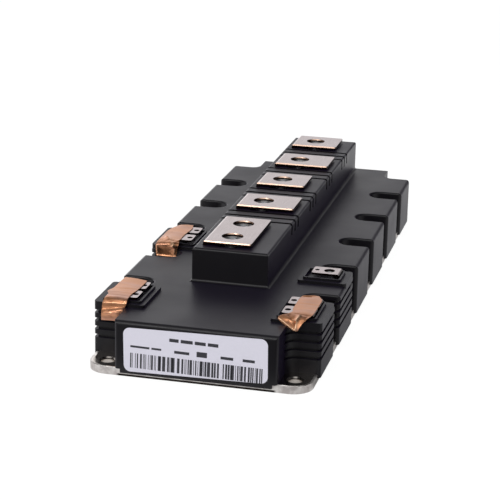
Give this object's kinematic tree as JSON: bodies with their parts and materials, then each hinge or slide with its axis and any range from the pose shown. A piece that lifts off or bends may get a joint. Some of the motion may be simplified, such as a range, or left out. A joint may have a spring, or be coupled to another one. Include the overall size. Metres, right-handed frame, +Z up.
{
  "type": "power semiconductor module",
  "caption": "Half-bridge power transistor module: nickel-plated base plate, ribbed plastic housing, raised spine with bolted terminals, auxiliary straps on pads, shorting foils and a label.",
  "frame": {"origin": "centre of the base plate's underside", "axes": "+X across the module, +Y along its length away from the labelled end, +Z up out of the deck"},
  "size_m": [0.089, 0.2501, 0.038],
  "materials": {
    "nickel_plate": "satin nickel over copper",
    "housing_black": "fine matte moulding",
    "terminal_tin": "satin plated copper",
    "nut_steel": "bright zinc",
    "strap_tin": "satin tinned copper",
    "foil_copper": "bare copper tape",
    "label_film": "satin film",
    "ceramic_white": "fired",
    "track_copper": "bare copper",
    "chip_silicon": "polished silicon",
    "wire_aluminium": "drawn",
    "bus_copper": "bare copper",
    "sensor_body": "smooth",
    "gel_clear": "clear soft silicone"
  },
  "bodies": {
    "root": {"base_plate": "nickel_plate", "housing": "housing_black", "ac_terminal": "terminal_tin", "dc_terminal_1": "terminal_tin", "dc_terminal_2": "terminal_tin", "dc_terminal_3": "terminal_tin", "dc_terminal_4": "terminal_tin", "power_nuts": "nut_steel", "aux_strap_1": "strap_tin", "aux_strap_2": "strap_tin", "aux_strap_3": "strap_tin", "aux_strap_4": "strap_tin", "aux_strap_5": "strap_tin", "aux_strap_6": "strap_tin", "aux_strap_7": "strap_tin", "aux_nuts": "nut_steel", "foil_near_left": "foil_copper", "foil_near_right": "foil_copper", "foil_mid_left": "foil_copper", "label": "label_film", "ceramic_1": "ceramic_white", "ceramic_2": "ceramic_white", "ceramic_3": "ceramic_white", "ceramic_4": "ceramic_white", "ceramic_5": "ceramic_white", "ceramic_6": "ceramic_white", "tracks_1": "track_copper", "tracks_2": "track_copper", "tracks_3": "track_copper", "tracks_4": "track_copper", "tracks_5": "track_copper", "tracks_6": "track_copper", "back_copper": "track_copper", "igbt_chips": "chip_silicon", "diode_chips": "chip_silicon", "bond_wires": "wire_aluminium", "busbar_plus": "bus_copper", "busbar_minus": "bus_copper", "busbar_ac": "bus_copper", "thermistor": "sensor_body", "gel": "gel_clear"}
  },
  "joints": []
}
